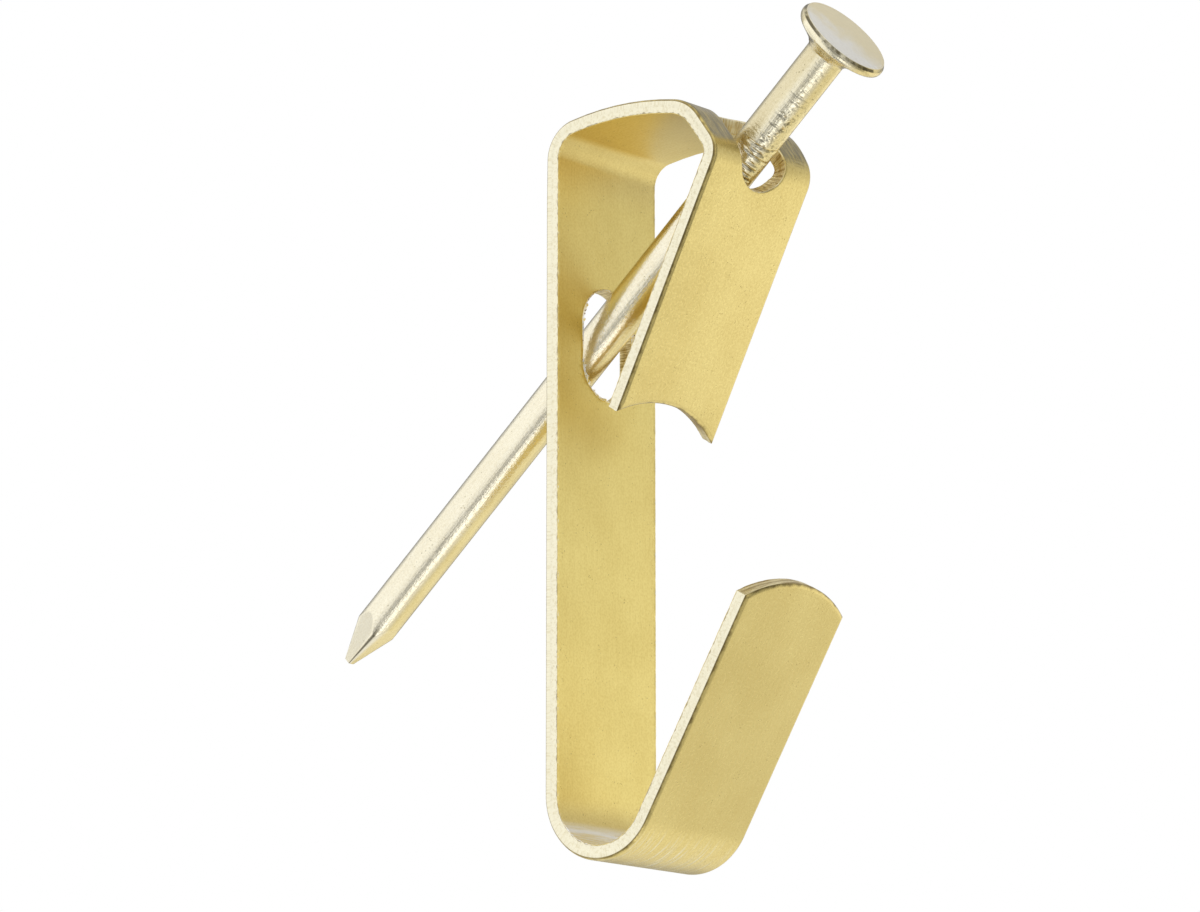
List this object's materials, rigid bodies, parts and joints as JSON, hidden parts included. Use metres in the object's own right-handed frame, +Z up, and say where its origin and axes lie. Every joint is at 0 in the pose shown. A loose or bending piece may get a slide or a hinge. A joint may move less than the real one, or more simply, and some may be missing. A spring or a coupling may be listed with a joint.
{
  "type": "picture hook",
  "caption": "Bent brass-plated strip hook with a slanted nail through its folded top and back leg; nailed to a wall, its upturned lip carries a picture's wire or hanger.",
  "frame": {"origin": "the point where the nail's axis enters the wall, on the strip's back face", "axes": "+Z up, +Y into the wall, +X across the strip; the wall is the plane Y = 0"},
  "size_m": [0.0074, 0.0315, 0.0395],
  "materials": {
    "plated_strip": "satin brass plating on steel strip, with paler sheared edges",
    "plated_nail": "drawn steel wire with a pale brass plating"
  },
  "bodies": {
    "root": {"hook": "plated_strip", "nail": "plated_nail"}
  },
  "joints": []
}
